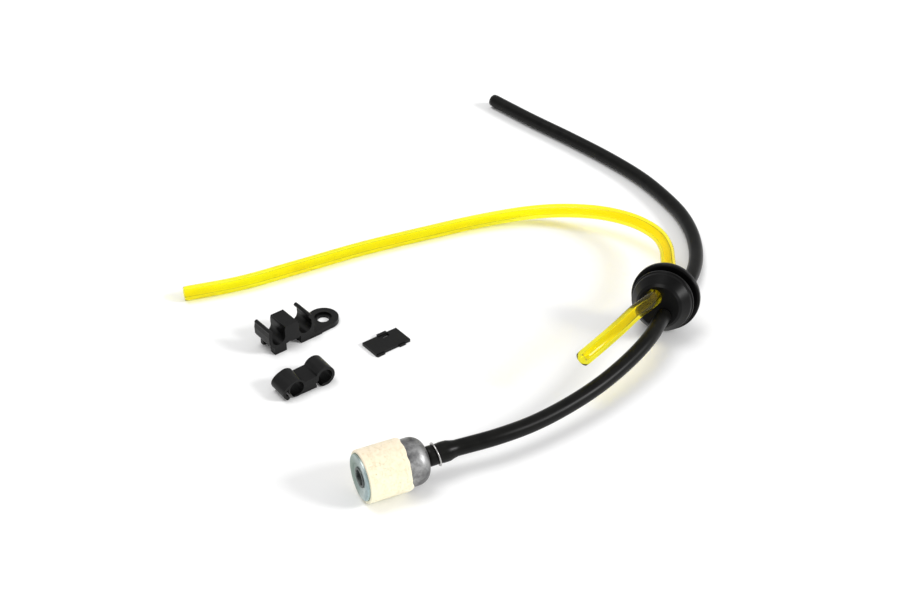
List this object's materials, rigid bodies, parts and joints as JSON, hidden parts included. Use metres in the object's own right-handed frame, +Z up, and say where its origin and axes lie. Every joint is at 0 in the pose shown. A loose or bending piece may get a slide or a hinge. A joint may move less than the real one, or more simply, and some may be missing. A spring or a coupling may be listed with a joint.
{
  "type": "fuel pick-up filter with lines",
  "caption": "Felt fuel filter on a black pick-up hose, passed with a yellow return hose through a rubber tank grommet, with loose hose-clip pieces beside them.",
  "frame": {"origin": "on the table the pieces lie on, midway along the rigid pieces in X and in Y", "axes": "+Z up from the table, +X from the clip pieces towards the grommet, +Y from the filter head towards the far hose end"},
  "size_m": [0.1729, 0.2347, 0.0216],
  "materials": {
    "die_cast": "satin die cast",
    "core_plastic": "moulded",
    "screen": "fine woven screen",
    "felt": "pressed felt",
    "plated_steel": "zinc plated",
    "spring_wire": "drawn wire",
    "black_hose": "satin extruded",
    "grommet_rubber": "moulded",
    "yellow_hose": "translucent extruded",
    "clip_plastic": "moulded"
  },
  "bodies": {
    "pickup_line": {"pickup_hose": "black_hose"},
    "filter_head": {"filter_cap": "die_cast", "core_tube": "core_plastic", "mesh_screen": "screen", "felt_sleeve": "felt", "end_disc": "plated_steel", "centre_rivet": "plated_steel"},
    "clip_ring": {"wire_clip": "spring_wire"},
    "seal": {"grommet": "grommet_rubber"},
    "return_line": {"return_hose": "yellow_hose"},
    "saddle_body": {"clip_saddle": "clip_plastic"},
    "cap_body": {"clip_cap": "clip_plastic"},
    "plate_body": {"clip_plate": "clip_plastic"}
  },
  "joints": [
    {"name": "head_turn", "type": "hinge", "parent": "pickup_line", "child": "filter_head", "pos_m": [-0.01597, -0.03275, 0.0078], "axis": [0.9063, 0.4226, 0], "continuous": true},
    {"name": "wire_turn", "type": "hinge", "parent": "pickup_line", "child": "clip_ring", "pos_m": [-0.01298, -0.03135, 0.0078], "axis": [0.9063, 0.4226, 0], "continuous": true},
    {"name": "grommet_slide", "type": "slide", "parent": "pickup_line", "child": "seal", "axis": [0.3477, 0.9058, -0.2419], "range_m": [-0.003, 0.003]},
    {"name": "return_slide", "type": "slide", "parent": "seal", "child": "return_line", "axis": [0.3477, 0.9058, -0.2419], "range_m": [-0.003, 0.003]},
    {"name": "saddle_lift", "type": "slide", "parent": "pickup_line", "child": "saddle_body", "axis": [0, 0, 1], "range_m": [0, 0.03]},
    {"name": "clip_lift", "type": "slide", "parent": "pickup_line", "child": "cap_body", "axis": [0, 0, 1], "range_m": [0, 0.03]},
    {"name": "plate_lift", "type": "slide", "parent": "pickup_line", "child": "plate_body", "axis": [0, 0, 1], "range_m": [0, 0.03]}
  ]
}
